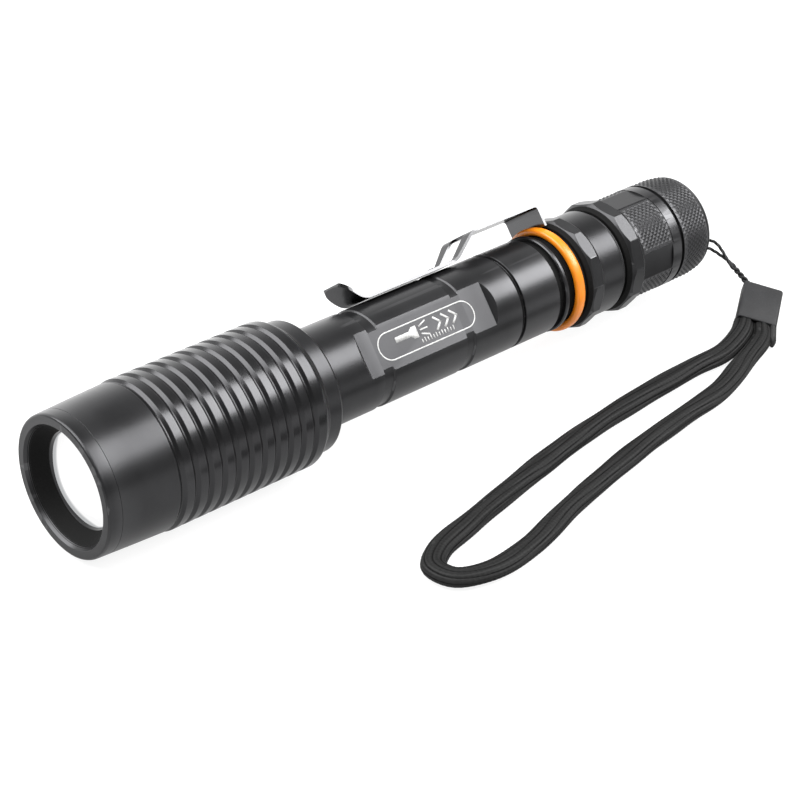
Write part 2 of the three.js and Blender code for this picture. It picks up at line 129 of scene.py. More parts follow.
KNURL_CELL = 0.85
KNURL_HEIGHT = 0.2
KNURL_BED = 0.42  # depth of the turned band under the knurl
FRONT_KNURL = (197.95, 210.35)
REAR_KNURL = (215.25, 226.3)
EASE_START = 222.4  # the tail cap narrows slightly from here
ROUNDING_START = 225.4  # and faster from here
STRAP_WIDTH = 6.9
STRAP_THICKNESS = 4.9
CORD_RADIUS = 0.45
CORD_ANGLE = 145  # degrees round the axis from the clip towards the label


# ---- mesh helpers ---------------------------------------------------------------------------

def new_piece(name, verts, faces):
    """Closed mesh object whose faces are turned outwards."""
    mesh = bpy.data.meshes.new(name)
    mesh.from_pydata([tuple(v) for v in verts], [], faces)
    mesh.update()
    edit = bmesh.new()
    edit.from_mesh(mesh)
    bmesh.ops.recalc_face_normals(edit, faces=edit.faces)
    edit.to_mesh(mesh)
    edit.free()
    piece = bpy.data.objects.new(name, mesh)
    bpy.context.scene.collection.objects.link(piece)
    return piece


def turned(name, outline, segments=ROUND):
    """Piece turned from (station, radius) points; an outline off the axis is closed as a ring."""
    verts, rings = [], []
    for place, radius in outline:
        if radius == 0:
            rings.append([len(verts)])
            verts.append((place, 0, 0))
            continue
        rings.append(list(range(len(verts), len(verts) + segments)))
        for k in range(segments):
            angle = TAU * k / segments
            verts.append((place, radius * math.sin(angle), radius * math.cos(angle)))
    pairs = list(zip(rings, rings[1:]))
    if outline[0][1] != 0:
        pairs.append((rings[-1], rings[0]))
    faces = []
    for a, b in pairs:
        for k in range(segments):
            n = (k + 1) % segments
            if len(a) == 1:
                faces.append((a[0], b[k], b[n]))
            elif len(b) == 1:
                faces.append((a[k], a[n], b[0]))
            else:
                faces.append((a[k], a[n], b[n], b[k]))
    return new_piece(name, verts, faces)


def prism(name, outline, start, end):
    """Straight prism from an outline in x and z, between two y values."""
    count = len(outline)
    verts = [(x, start, z) for x, z in outline] + [(x, end, z) for x, z in outline]
    faces = [tuple(range(count)), tuple(range(count, 2 * count))]
    faces += [(k, (k + 1) % count, (k + 1) % count + count, k + count) for k in range(count)]
    return new_piece(name, verts, faces)


def block(name, size, centre, turn=None):
    """Box used as a cutter."""
    verts = [Vector((x * size[0] / 2, y * size[1] / 2, z * size[2] / 2)) + Vector(centre)
             for x in (-1, 1) for y in (-1, 1) for z in (-1, 1)]
    if turn is not None:
        verts = [turn @ v for v in verts]
    faces = [(0, 1, 3, 2), (4, 6, 7, 5), (0, 4, 5, 1), (2, 3, 7, 6), (0, 2, 6, 4), (1, 5, 7, 3)]
    return new_piece(name, verts, faces)


def rod(name, start, end, radius, segments=32):
    """Straight round rod between two points."""
    start, end = Vector(start), Vector(end)
    turn = (end - start).to_track_quat("Z", "Y")
    verts = []
    for base in (start, end):
        for k in range(segments):
            angle = TAU * k / segments
            spoke = Vector((radius * math.cos(angle), radius * math.sin(angle), 0))
            verts.append(base + turn @ spoke)
    faces = [tuple(range(segments)), tuple(range(segments, 2 * segments))]
    faces += [(k, (k + 1) % segments, (k + 1) % segments + segments, k + segments)
              for k in range(segments)]
    return new_piece(name, verts, faces)


def bake_modifiers(piece):
    """Turns the piece's modifiers into plain mesh."""
    bpy.context.view_layer.update()
    ready = piece.evaluated_get(bpy.context.evaluated_depsgraph_get())
    mesh = bpy.data.meshes.new_from_object(ready)
    piece.modifiers.clear()
    piece.data = mesh


def boolean(piece, tool, operation="DIFFERENCE"):
    """Cuts the piece with a tool, or joins or intersects them, and removes the tool."""
    step = piece.modifiers.new("boolean", "BOOLEAN")
    step.object = tool
    step.operation = operation
    step.solver = "EXACT"
    bake_modifiers(piece)
    bpy.data.objects.remove(tool)


def merge_into(piece, *others):
    """Adds other pieces' bodies to the piece's mesh."""
    edit = bmesh.new()
    edit.from_mesh(piece.data)
    for other in others:
        edit.from_mesh(other.data)
        bpy.data.objects.remove(other)
    edit.to_mesh(piece.data)
    edit.free()


def fillet(points, radius, steps=5):
    """Open line of 2D points with its inner corners rounded."""
    points = [Vector(p) for p in points]
    rounded = [points[0]]
    for before, corner, after in zip(points, points[1:], points[2:]):
        back = before - corner
        ahead = after - corner
        reach = min(radius, back.length * 0.45, ahead.length * 0.45)
        first = corner + back.normalized() * reach
        last = corner + ahead.normalized() * reach
        for k in range(steps + 1):
            t = k / steps
            rounded.append(first * (1 - t) ** 2 + corner * 2 * t * (1 - t) + last * t * t)
    rounded.append(points[-1])
    return rounded


def sheet_outline(line, thickness):
    """Outline of bent sheet round its centre line."""
    left, right = [], []
    for k, point in enumerate(line):
        before = line[max(k - 1, 0)]
        after = line[min(k + 1, len(line) - 1)]
        along = (after - before).normalized()
        offset = Vector((-along.y, along.x)) * thickness / 2
        left.append(point + offset)
        right.append(point - offset)
    return left + right[::-1]


def facet_prism(start, end, apothem):
    """Regular prism round the axis with a corner towards the clip."""
    radius = apothem / math.cos(math.pi / FACETS)
    return turned("facet_tool", [(start, 0), (start, radius), (end, radius), (end, 0)], FACETS)


def smooth_line(points, count):
    """Evenly spaced points on a centripetal Catmull-Rom line through the given points."""
    points = [Vector(p) for p in points]
    points = [points[0] * 2 - points[1]] + points + [points[-1] * 2 - points[-2]]
    dense = []
    for p0, p1, p2, p3 in zip(points, points[1:], points[2:], points[3:]):
        t0 = 0
        t1 = t0 + (p1 - p0).length ** 0.5
        t2 = t1 + (p2 - p1).length ** 0.5
        t3 = t2 + (p3 - p2).length ** 0.5
        for k in range(24):
            t = t1 + (t2 - t1) * k / 24
            a1 = p0 * ((t1 - t) / (t1 - t0)) + p1 * ((t - t0) / (t1 - t0))
            a2 = p1 * ((t2 - t) / (t2 - t1)) + p2 * ((t - t1) / (t2 - t1))
            a3 = p2 * ((t3 - t) / (t3 - t2)) + p3 * ((t - t2) / (t3 - t2))
            b1 = a1 * ((t2 - t) / (t2 - t0)) + a2 * ((t - t0) / (t2 - t0))
            b2 = a2 * ((t3 - t) / (t3 - t1)) + a3 * ((t - t1) / (t3 - t1))
            dense.append(b1 * ((t2 - t) / (t2 - t1)) + b2 * ((t - t1) / (t2 - t1)))
    dense.append(points[-2])
    lengths = [0.0]
    for a, b in zip(dense, dense[1:]):
        lengths.append(lengths[-1] + (b - a).length)
    even, k = [], 0
    for n in range(count):
        target = lengths[-1] * n / (count - 1)
        while k < len(dense) - 2 and lengths[k + 1] < target:
            k += 1
        share = (target - lengths[k]) / max(lengths[k + 1] - lengths[k], 1e-9)
        even.append(dense[k].lerp(dense[k + 1], min(max(share, 0), 1)))
    return even, lengths[-1]


def swept(name, line, sides, section):
    """Closed tube along a line; section(k, angle) gives the sideways and upward offset."""
    verts, faces = [], []
    up = Vector((0, 0, 1))
    for k, point in enumerate(line):
        along = (line[min(k + 1, len(line) - 1)] - line[max(k - 1, 0)]).normalized()
        across = along.cross(up).normalized()
        up = across.cross(along).normalized()
        for n in range(sides):
            sideways, upward = section(k, TAU * n / sides)
            verts.append(point + across * sideways + up * upward)
    for k in range(len(line) - 1):
        for n in range(sides):
            a, b = k * sides + n, k * sides + (n + 1) % sides
            faces.append((a, b, b + sides, a + sides))
    faces.append(tuple(range(sides)))
    faces.append(tuple(range(len(verts) - sides, len(verts))))
    return new_piece(name, verts, faces)


def finish_piece(piece, body, nodes, slot, bevel=0.0, to_row=LIGHT, flat=False):
    """Places a piece, gives it its material, edges and body, and hides the CAD it stands for.
    """
    piece.data.transform(to_row)
    piece.data.materials.clear()
    piece.data.materials.append(MATERIALS[slot])
    for face in piece.data.polygons:  # end faces stay flat
        face.use_smooth = not flat and abs(face.normal.x) < 0.999
    if bevel:
        edges = piece.modifiers.new("edges", "BEVEL")
        edges.width = bevel * MM
        edges.segments = 2
        edges.limit_method = "ANGLE"
        edges.angle_limit = math.radians(13)
        shade = piece.modifiers.new("shade", "WEIGHTED_NORMAL")
        shade.keep_sharp = True
    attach(piece, body)
    if nodes:
        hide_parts(*nodes)


def second_slot(piece, material, chosen):
    """Gives the faces that chosen(face, station) picks another material."""
    piece.data.materials.append(MATERIALS[material])
    slot = len(piece.data.materials) - 1
    for face in piece.data.polygons:
        if chosen(face, station(face.center.x)):
            face.material_index = slot


# ---- materials ------------------------------------------------------------------------------

class Nodes:
    """Small helper to build one procedural material."""

    def __init__(self, name):
        self.material = bpy.data.materials.new(name)
        self.material.use_nodes = True
        self.tree = self.material.node_tree
        self.shader = self.tree.nodes["Principled BSDF"]
        self.place = self.add("ShaderNodeTexCoord").outputs["Object"]

    def add(self, kind, **values):
        node = self.tree.nodes.new(kind)
        for key, value in values.items():
            if key in node.inputs:
                node.inputs[key].default_value = value
            else:
                setattr(node, key, value)
        return node

    def link(self, output, target):
        self.tree.links.new(output, target)

    def set(self, **values):
        for key, value in values.items():
            self.shader.inputs[key.replace("_", " ")].default_value = value

    def stretched(self, scale):
        mapping = self.add("ShaderNodeMapping", Scale=scale)
        self.link(self.place, mapping.inputs["Vector"])
        return mapping.outputs["Vector"]

    def noise(self, scale, detail, vector=None):
        node = self.add("ShaderNodeTexNoise", Scale=scale, Detail=detail)
        self.link(vector or self.place, node.inputs["Vector"])
        return node.outputs["Fac"]

    def spread(self, value, low, high, out_low, out_high):
        node = self.add("ShaderNodeMapRange")
        for slot, number in zip(("From Min", "From Max", "To Min", "To Max"),
                                (low, high, out_low, out_high)):
            node.inputs[slot].default_value = number
        self.link(value, node.inputs["Value"])
        return node.outputs["Result"]

    def colours(self, value, *stops):
        ramp = self.add("ShaderNodeValToRGB")
        elements = ramp.color_ramp.elements
        while len(elements) < len(stops):
            elements.new(0.5)
        for element, (position, colour) in zip(elements, stops):
            element.position = position
            element.color = (*colour, 1)
        self.link(value, ramp.inputs["Fac"])
        return ramp.outputs["Color"]

    def maths(self, operation, a, b):
        node = self.add("ShaderNodeMath", operation=operation)
        for slot, value in zip(node.inputs, (a, b)):
            if isinstance(value, (int, float)):
                slot.default_value = value
            else:
                self.link(value, slot)
        return node.outputs[0]

    def bump(self, height, strength, distance):
        node = self.add("ShaderNodeBump", Strength=strength, Distance=distance)
        self.link(height, node.inputs["Height"])
        self.link(node.outputs["Normal"], self.shader.inputs["Normal"])


def anodised(name, smooth, rough):
    """Dark grey hard-anodised aluminium with fine turning marks; edges and knurl tips are lightened,
    partly as wear and partly as a painted highlight.
    """
    n = Nodes(name)
    n.set(Metallic=0.85)
    cloud = n.noise(90, 4)
    marks = n.noise(1, 2, n.stretched((9000, 120, 120)))
    base = n.colours(cloud, (0.3, (0.038, 0.038, 0.0395)), (0.7, (0.047, 0.047, 0.049)))
    edge = n.add("ShaderNodeNewGeometry").outputs["Pointiness"]
    # lighter on sharp edges and knurl tips: partly wear, partly a painted highlight
    wear_and_painted_highlight = n.spread(edge, 0.515, 0.56, 0.0, 0.35)
    mix = n.add("ShaderNodeMix", data_type="RGBA")
    n.link(wear_and_painted_highlight, mix.inputs["Factor"])
    n.link(base, mix.inputs["A"])
    mix.inputs["B"].default_value = (0.15, 0.15, 0.155, 1)
    n.link(mix.outputs["Result"], n.shader.inputs["Base Color"])
    polish = n.spread(n.maths("ADD", cloud, marks), 0.6, 1.4, smooth, rough)
    n.link(polish, n.shader.inputs["Roughness"])
    n.bump(marks, 0.12, 0.00004)
    return n.material


def rubber(name, base, roughness, coat=0.0):
    """Moulded rubber with a faint grain and slight colour variation."""
    n = Nodes(name)
    grain = n.noise(2600, 2)
    cloud = n.noise(160, 3)
    darker = tuple(c * 0.82 for c in base)
    lighter = tuple(min(c * 1.12, 1) for c in base)
    n.link(n.colours(cloud, (0.3, darker), (0.7, lighter)), n.shader.inputs["Base Color"])
    n.link(n.spread(grain, 0.3, 0.7, roughness * 0.88, roughness * 1.12),
           n.shader.inputs["Roughness"])
    n.set(Coat_Weight=coat, Coat_Roughness=0.25)
    n.bump(grain, 0.15, 0.00005)
    return n.material


def plastic(name, base, roughness, gloss=0.5):
    """Moulded plastic with a fine spark-eroded grain."""
    n = Nodes(name)
    grain = n.noise(1800, 3)
    cloud = n.noise(220, 3)
    n.link(n.colours(cloud, (0.3, tuple(c * 0.9 for c in base)), (0.7, tuple(c * 1.1 for c in base))),
           n.shader.inputs["Base Color"])
    n.link(n.spread(grain, 0.3, 0.7, roughness * 0.9, roughness * 1.15),
           n.shader.inputs["Roughness"])
    n.set(Specular_IOR_Level=gloss)
    n.bump(grain, 0.25, 0.00006)
    return n.material


def metal(name, base, roughness, marks_scale, edge=1.0):
    """Bare metal with drawn marks; edge is its tint where it is seen edge-on."""
    n = Nodes(name)
    marks = n.noise(1, 3, n.stretched(marks_scale))
    n.set(Metallic=1.0)
    n.shader.inputs["Specular Tint"].default_value = (edge, edge, edge, 1)
    n.link(n.colours(marks, (0.3, tuple(c * 0.85 for c in base)), (0.7, base)),
           n.shader.inputs["Base Color"])
    n.link(n.spread(marks, 0.3, 0.7, roughness * 0.8, roughness * 1.25),
           n.shader.inputs["Roughness"])
    n.bump(marks, 0.08, 0.00004)
    return n.material


def fabric(name, base, fibre_scale):
    """Black textile: painted shade in the valleys and painted light on the strand tops, with uneven
    dye and fine fibres.
    """
    n = Nodes(name)
    fibre = n.noise(fibre_scale, 4)
    patch = n.noise(120, 3)
    ridge = n.spread(n.add("ShaderNodeNewGeometry").outputs["Pointiness"], 0.44, 0.56, 0.0, 1.0)
    dye = n.maths("ADD", n.maths("MULTIPLY", fibre, 0.35), n.maths("MULTIPLY", patch, 0.25))
    # painted shade in the braid's valleys and painted light on its strand tops, from pointiness
    shade = n.maths("ADD", dye, n.maths("MULTIPLY", ridge, 0.4))
    n.link(n.colours(shade, (0.3, tuple(c * 0.2 for c in base)), (0.75, tuple(c * 2.4 for c in base))),
           n.shader.inputs["Base Color"])
    n.link(n.spread(ridge, 0.3, 0.8, 0.05, 0.4), n.shader.inputs["Specular IOR Level"])
    n.set(Roughness=0.62)
    n.bump(fibre, 0.6, 0.00015)
    return n.material


def glass_with_painted_glow():
    """The focus lens with the LED on: a painted white glow, with a painted grey reflection where the
    dome is seen edge-on.
    """
    n = Nodes("lens_glass")
    facing = n.add("ShaderNodeLayerWeight", Blend=0.5).outputs["Facing"]
    swirl = n.noise(60, 2)
    edge = n.maths("ADD", facing, n.maths("MULTIPLY", swirl, 0.03))
    # painted light: white glow where the dome faces the eye, a painted grey reflection where it is
    # seen edge-on, darker at its rim
    shade = n.colours(edge, (0.0, (1.0, 1.0, 1.0)), (0.70, (0.97, 0.97, 0.97)),
                      (0.77, (0.50, 0.51, 0.52)), (0.93, (0.52, 0.53, 0.54)),
                      (1.0, (0.34, 0.35, 0.36)))
    n.set(Roughness=0.04, Specular_IOR_Level=0.5, Coat_Weight=0.2, Emission_Strength=1.0)
    n.shader.inputs["Base Color"].default_value = (0.05, 0.05, 0.05, 1)
    n.link(shade, n.shader.inputs["Emission Color"])
    return n.material


def matt_black():
    """Dead black: soaks up light, with a faint grain; used as painted shade in grooves, seams and on
    the clip's ring plate, and to line the bezel's cone.
    """
    n = Nodes("matt_black")
    grain = n.noise(2400, 2)
    n.link(n.colours(grain, (0.3, (0.003, 0.003, 0.003)), (0.7, (0.008, 0.008, 0.008))),
           n.shader.inputs["Base Color"])
    n.link(n.spread(grain, 0.3, 0.7, 0.65, 0.85), n.shader.inputs["Roughness"])
    n.set(Specular_IOR_Level=0.12)
    n.bump(grain, 0.2, 0.00004)
    return n.material


def print_paint():
    """Laser-marked white, slightly broken up."""
    n = Nodes("label_paint")
    speck = n.noise(1500, 2)
    n.link(n.colours(speck, (0.25, (0.40, 0.40, 0.39)), (0.6, (0.62, 0.62, 0.61))),
           n.shader.inputs["Base Color"])
    n.link(n.spread(speck, 0.3, 0.7, 0.45, 0.65), n.shader.inputs["Roughness"])
    return n.material


MATERIALS = {
    "anodised": anodised("anodised", 0.28, 0.35),
    "anodised_ribs": anodised("anodised_ribs", 0.20, 0.25),
    "anodised_knurl": anodised("anodised_knurl", 0.40, 0.48),
    "black_rubber": rubber("black_rubber", (0.012, 0.012, 0.013), 0.6),
    "orange_rubber": rubber("orange_rubber", (0.82, 0.235, 0.008), 0.36, coat=0.2),
    "lens_glass": glass_with_painted_glow(),
    "matt_black": matt_black(),
    "brass": metal("brass", (0.62, 0.42, 0.16), 0.3, (6000, 200, 200)),
    "led_white": plastic("led_white", (0.82, 0.82, 0.79), 0.45),
    "led_phosphor": plastic("led_phosphor", (0.88, 0.70, 0.10), 0.25),
    "circuit_board": plastic("circuit_board", (0.02, 0.14, 0.05), 0.35),
    "spring_wire": metal("spring_wire", (0.75, 0.62, 0.38), 0.25, (900, 900, 900)),
    "cell_wrap": plastic("cell_wrap", (0.03, 0.12, 0.38), 0.3),
    "clip_steel": metal("clip_steel", (0.13, 0.13, 0.133), 0.18, (150, 5000, 5000), 0.55),
    "switch_plastic": plastic("switch_plastic", (0.06, 0.06, 0.065), 0.5),
    "cord_fabric": fabric("cord_fabric", (0.006, 0.006, 0.0065), 3000),
    "clamp_plastic": plastic("clamp_plastic", (0.02, 0.02, 0.021), 0.55, 0.25),
    "strap_fabric": fabric("strap_fabric", (0.0035, 0.0035, 0.0035), 1600),
    "label_paint": print_paint(),
}


# ---- head -----------------------------------------------------------------------------------

def bezel():
    front, end = span("bezel_ring")
    seam = span("head_sleeve")[0] - 0.06
    outline = [
        (front, 17.1), (front, 19.2), (0.2, 19.55), (0.7, 19.74), (1.2, 19.78),
        (seam, HEAD_FRONT_RADIUS), (seam, 18.2), (end, 18.2), (end, 15.4), (7.2, 15.4),
        (7.2, 13.6), (5.7, 13.6),
    ]
    finish_piece(turned("bezel", outline), "head", ["bezel_ring"], "anodised", 0.1)
    steps = 14
    liner = [(0.25, 16.95)]
    for k in range(steps):  # fine dark steps that line the cone
        share = (k + 0.5) / steps
        place = 0.35 + share * 5.0
        radius = 17.0 - share * 3.42
        liner += [(place, radius - 0.1), (place + 0.18, radius - 0.16)]
    liner += [(5.6, 13.62), (5.6, 13.9), (0.25, 17.2)]
    finish_piece(turned("bezel_cone", liner), "head", None, "matt_black")


def lens():
    rim, rings = 6.4, 24
    slope = math.asin(LENS_RADIUS / LENS_DOME)
    centre = rim + LENS_DOME * math.cos(slope)
    outline = [(centre - LENS_DOME, 0)]
    for k in range(1, rings + 1):
        angle = slope * k / rings
        outline.append((centre - LENS_DOME * math.cos(angle), LENS_DOME * math.sin(angle)))
    outline += [(8.7, LENS_RADIUS), (8.7, 15.0), (11.9, 15.0), (11.9, 0)]
    finish_piece(turned("focus_lens", outline), "head", ["lens"], "lens_glass")


def head_sleeve():
    start, end = span("head_sleeve")
    outline = [(start, HEAD_FRONT_RADIUS), (12, 20.28)]
    land = RIB_RADIUS - FRONT_LAND_DROP
    for k in range(RIB_GROOVES):
        middle = FIRST_GROOVE + k * RIB_PITCH
        outline += [(middle - RIB_GROOVE_HALF, land)]
        outline += [(middle + side * RIB_GROOVE_FLOOR, RIB_RADIUS - RIB_DEPTH) for side in (-1, 1)]
        outline += [(middle + RIB_GROOVE_HALF, RIB_RADIUS)]
        land = RIB_RADIUS
    outline += [(HEAD_SHOULDER - 0.6, RIB_RADIUS), (HEAD_SHOULDER, RIB_RADIUS - 0.18)]
    outline += [(HEAD_SHOULDER + 2, HEAD_REAR_RADIUS), (HEAD_SHOULDER + 2.5, HEAD_REAR_RADIUS - 0.1)]
    outline += [(end - 1, HEAD_REAR_RADIUS - 0.1), (end, HEAD_REAR_RADIUS - 1)]
    outline += [(end, 14.6), (68, 14.6), (68, 17), (11.9, 17), (11.9, 18.5), (start, 18.5)]
    sleeve = turned("zoom_head", outline)
    finish_piece(sleeve, "head", ["head_sleeve"], "anodised", 0.1)
    second_slot(sleeve, "anodised_ribs", lambda face, place: (
        FIRST_GROOVE - RIB_GROOVE_HALF < place < HEAD_SHOULDER))


# ---- tube -----------------------------------------------------------------------------------

def helix_ridge(name, start, end, radius, height, pitch, per_turn=72):
    """Screw thread ridge that winds round the axis."""
    turns = (end - start) / pitch
    count = int(turns * per_turn)
    verts, faces = [], []
    for k in range(count + 1):
        t = k / count
        taper = min(1, t * turns * 2, (1 - t) * turns * 2)
        angle = t * turns * TAU
        centre = start + t * (end - start)
        for dx, dr in ((-0.42 * pitch, -0.15), (-0.06 * pitch, height * taper),
                       (0.06 * pitch, height * taper), (0.42 * pitch, -0.15)):
            r = radius + dr
            verts.append((centre + dx, r * math.sin(angle), r * math.cos(angle)))
    for k in range(count):
        for n in range(4):
            a, b = 4 * k + n, 4 * k + (n + 1) % 4
            faces.append((a, b, b + 4, a + 4))
    faces.append((0, 1, 2, 3))
    faces.append(tuple(range(len(verts) - 4, len(verts))))
    return new_piece(name, verts, faces)


def milled_flat(side):
    reach = 4
    shape = [
        (MILLED_START + MILLED_DEPTH, FLAT_DEPTH), (MILLED_END - MILLED_DEPTH, FLAT_DEPTH),
        (MILLED_END - MILLED_DEPTH + reach, FLAT_DEPTH + reach),
        (MILLED_START + MILLED_DEPTH - reach, FLAT_DEPTH + reach),
    ]
    tool = prism("flat_tool", shape, -TUBE_RADIUS, TUBE_RADIUS)
    tool.data.transform(Matrix.Rotation(math.pi / 2 * side, 4, "X"))
    return tool


def tube():
    start, end = span("body_tube")
    outline = [(start, 13.9), (start + 0.3, TUBE_RADIUS), (44, TUBE_RADIUS), (44, 16.6), (48, 16.6)]
    outline += [(48, 15.5), (51.6, 15.5), (51.6, 16.6), (55.7, 16.6), (55.7, TUBE_RADIUS)]
    outline += [(MILLED_START - 0.6, TUBE_RADIUS)]  # keeps the flats' long faces apart
    for first, last, rise, depth in TUBE_GROOVES:
        floor = TUBE_RADIUS - depth
        if outline[-1][0] < MILLED_END < first:
            outline += [(MILLED_END + 0.6, TUBE_RADIUS)]
        outline += [(first, TUBE_RADIUS), (first + 0.2, floor), (last - rise, floor)]
        outline += [(last - rise * 0.7, floor + 0.06), (last - rise * 0.25, TUBE_RADIUS - 0.08)]
        outline += [(last, TUBE_RADIUS)]
    outline += [(GROOVE_START, TUBE_RADIUS), (GROOVE_START + 0.15, 13.2), (GROOVE_END, 13.2)]
    outline += [(GROOVE_END, 14.2), (GROOVE_END + 0.35, 14.5), (167.1, 14.5), (167.4, 14.2)]
    outline += [(167.4, THREAD_RADIUS), (188.8, THREAD_RADIUS), (188.8, 12.2), (190.4, 12.2)]
    outline += [(190.4, THREAD_RADIUS), (end, THREAD_RADIUS), (end, 9.6), (44.4, 9.6)]
    outline += [(44.4, 12.2), (start, 12.2)]
    body = turned("tube", outline)
    for side in (1, -1):
        boolean(body, milled_flat(side))
    threads = [
        helix_ridge("thread_a", 167.8, 173, THREAD_RADIUS, 0.2, 0.8),
        helix_ridge("thread_b", 191.2, end - 0.4, THREAD_RADIUS, 0.22, 1.5),
    ]
    merge_into(body, *threads)
    finish_piece(body, "tube", ["body_tube"], "anodised", 0.1)
    first, last, rise, _ = TUBE_GROOVES[2]
    # painted shade: the narrow third groove, the seal groove and the thread are matt black
    second_slot(body, "matt_black", lambda face, place: (
        first + 0.1 < place < last - rise
        or GROOVE_START + 0.1 < place < GROOVE_END - 0.05
        or place > THREAD_START))


def flat_shape(name, outline):
    """Thin printed shape on the label flat, from an outline of station and height."""
    return prism(name, outline, -FLAT_DEPTH - PRINT_HEIGHT, -FLAT_DEPTH + 0.02)


def flat_line(name, start, end, width):
    start, end = Vector(start), Vector(end)
    along = (end - start).normalized() * width / 2
    aside = Vector((-along.y, along.x))
    return flat_shape(name, [start - along + aside, start - along - aside,
                             end + along - aside, end + along + aside])


def label():
    """Lozenge outline with a plain torch pictogram, chevrons and a tick scale."""
    centre, height = Vector((115.2, -0.15)), 4.05
    half, line = 17.7, 0.36
    outer, inner = [], []
    for end in (1, -1):
        middle = centre + Vector((end * (half - height), 0))
        for k in range(25):
            angle = -math.pi / 2 + math.pi * k / 24 + (0 if end > 0 else math.pi)
            spoke = Vector((math.cos(angle), math.sin(angle)))
            outer.append(middle + spoke * height)
            inner.append(middle + spoke * (height - line))
    count = len(outer)
    verts = []
    for y in (-FLAT_DEPTH - PRINT_HEIGHT, -FLAT_DEPTH + 0.02):
        verts += [(p.x, y, p.y) for p in outer] + [(p.x, y, p.y) for p in inner]
    faces = []
    for k in range(count):
        n = (k + 1) % count
        for a, b in ((0, 1), (1, 3), (3, 2), (2, 0)):
            faces.append((a * count + k, a * count + n, b * count + n, b * count + k))
    ring = new_piece("label_outline", verts, faces)
    marks = []
    x, y = 104.0, 0.7
    marks.append(flat_shape("torch", [(x, y - 0.8), (x + 5.2, y - 0.8), (x + 6.4, y - 1.7),
                                      (x + 8.0, y - 1.7), (x + 8.0, y + 1.7), (x + 6.4, y + 1.7),
                                      (x + 5.2, y + 0.8), (x, y + 0.8)]))
    for rise in (-1, 0, 1):
        marks.append(flat_line("ray", (x + 9.2, y + rise * 1.1), (x + 11.6, y + rise * 2.0), 0.42))
    for k in range(3):
        tip = x + 16.6 + k * 3.0
        marks.append(flat_line("chevron", (tip - 1.8, y + 1.7), (tip, y), 0.62))
        marks.append(flat_line("chevron", (tip - 1.8, y - 1.7), (tip, y), 0.62))
    for k in range(12):
        tick = 112.5 + k * 1.05
        marks.append(flat_line("tick", (tick, -2.75), (tick, -1.95 + 0.25 * (k % 2)), 0.28))
    merge_into(ring, *marks)
    finish_piece(ring, "tube", None, "label_paint")


def grip_ring():
    start, end = span("grip_ring")
    middle, half = (start + end) / 2, (end - start) / 2
    outline = []
    for k in range(28):
        angle = TAU * k / 28
        bulge = 0.72
        x = math.copysign(abs(math.cos(angle)) ** bulge, math.cos(angle))
        r = math.copysign(abs(math.sin(angle)) ** bulge, math.sin(angle))
        outline.append((middle + half * x, 14.62 + 1.12 * r))
    finish_piece(turned("orange_grip_ring", outline), "tube", ["grip_ring"], "orange_rubber")


def pocket_clip():
    low, high = span("pocket_clip")
    plate = high - SHEET / 2
    top, blade = 20.6, 14.8
    line = fillet([(plate, 14.1), (plate, top), (148, top), (140, blade), (106.8, blade),
                   (105.1, 15.5), (103.9, 16.6), (100.1, 21.2)], 1.5)
    clip = prism("clip", sheet_outline(line, SHEET), -9, 9)
    wide, narrow, tip = 8.0, 5.8, 103.0
    half = [(high, wide), (150, wide), (139, narrow), (tip, narrow)]
    for k in range(1, 12):
        angle = math.pi / 2 * k / 12
        half.append((tip - (tip - low) * math.sin(angle) ** 0.9, narrow * math.cos(angle) ** 0.75))
    plan = half + [(low, 0)] + [(x, -y) for x, y in half[::-1]]
    outline = prism("plan", plan, 10, 30)
    swap_y_and_z = Matrix(((1, 0, 0, 0), (0, 0, 1, 0), (0, 1, 0, 0), (0, 0, 0, 1)))
    outline.data.transform(swap_y_and_z)
    outline.data.flip_normals()
    boolean(clip, outline, "INTERSECT")
    plate_ring = turned("plate", [(high - SHEET, THREAD_BORE), (high - SHEET, 14.7),
                                  (high, 14.7), (high, THREAD_BORE)], 96)
    boolean(clip, plate_ring, "UNION")
    boolean(clip, block("window", (9, 6.6, 9), (144.4, 0, 18)))
    dimple = turned("dimple", [(0, 0), (0, 1.5), (0.3, 1.35), (0.55, 0.9), (0.65, 0)], 48)
    upright = Matrix.Rotation(-math.pi / 2, 4, "Y")
    dimple.data.transform(Matrix.Translation((134.5, 0, blade + 0.2)) @ upright)
    merge_into(clip, dimple)
    finish_piece(clip, "tube", ["pocket_clip"], "clip_steel", 0.12)
    # painted shade: the ring plate sits in the dark between the orange ring and the collar and is
    # painted matt black
    second_slot(clip, "matt_black", lambda face, place: (
        place > 170 and math.hypot(face.center.y, face.center.z) < 14.9 * MM))


# ---- collar and tail ------------------------------------------------------------------------

def paint_front_shade(piece, start):
    """Front end and lower half of the front chamfer, painted black as shade in the seam."""
    second_slot(piece, "matt_black", lambda face, place: (
        face.normal.x < -0.3 and place < start + SHADE_PAINTED_CHAMFER))


def rear_collar():
    start, end = span("rear_collar")
    outline = [
        (start, 15.2), (start + SHADE_PAINTED_CHAMFER, 16.06), (start + 2.1, 16.85), (178.8, 16.85),
        (180.3, GRIP_RADIUS),
        (end - 0.4, GRIP_RADIUS), (end, GRIP_RADIUS - 0.4), (end, THREAD_BORE),
        (start, THREAD_BORE),
    ]
    collar = turned("collar", outline)
    boolean(collar, facet_prism(start - 1, end + 1, COLLAR_APOTHEM), "INTERSECT")
    finish_piece(collar, "tube", ["rear_collar"], "anodised", 0.12)
    # painted shade on the collar's front chamfer in the seam
    paint_front_shade(collar, start)


def grip_profile(place):
    """Radius of the tail cap's outside, easing in towards its rounded end."""
    if place < ROUNDING_START:
        return GRIP_RADIUS - max(0, place - EASE_START) * 0.117
    return 15.3 - (place - ROUNDING_START) * 0.348


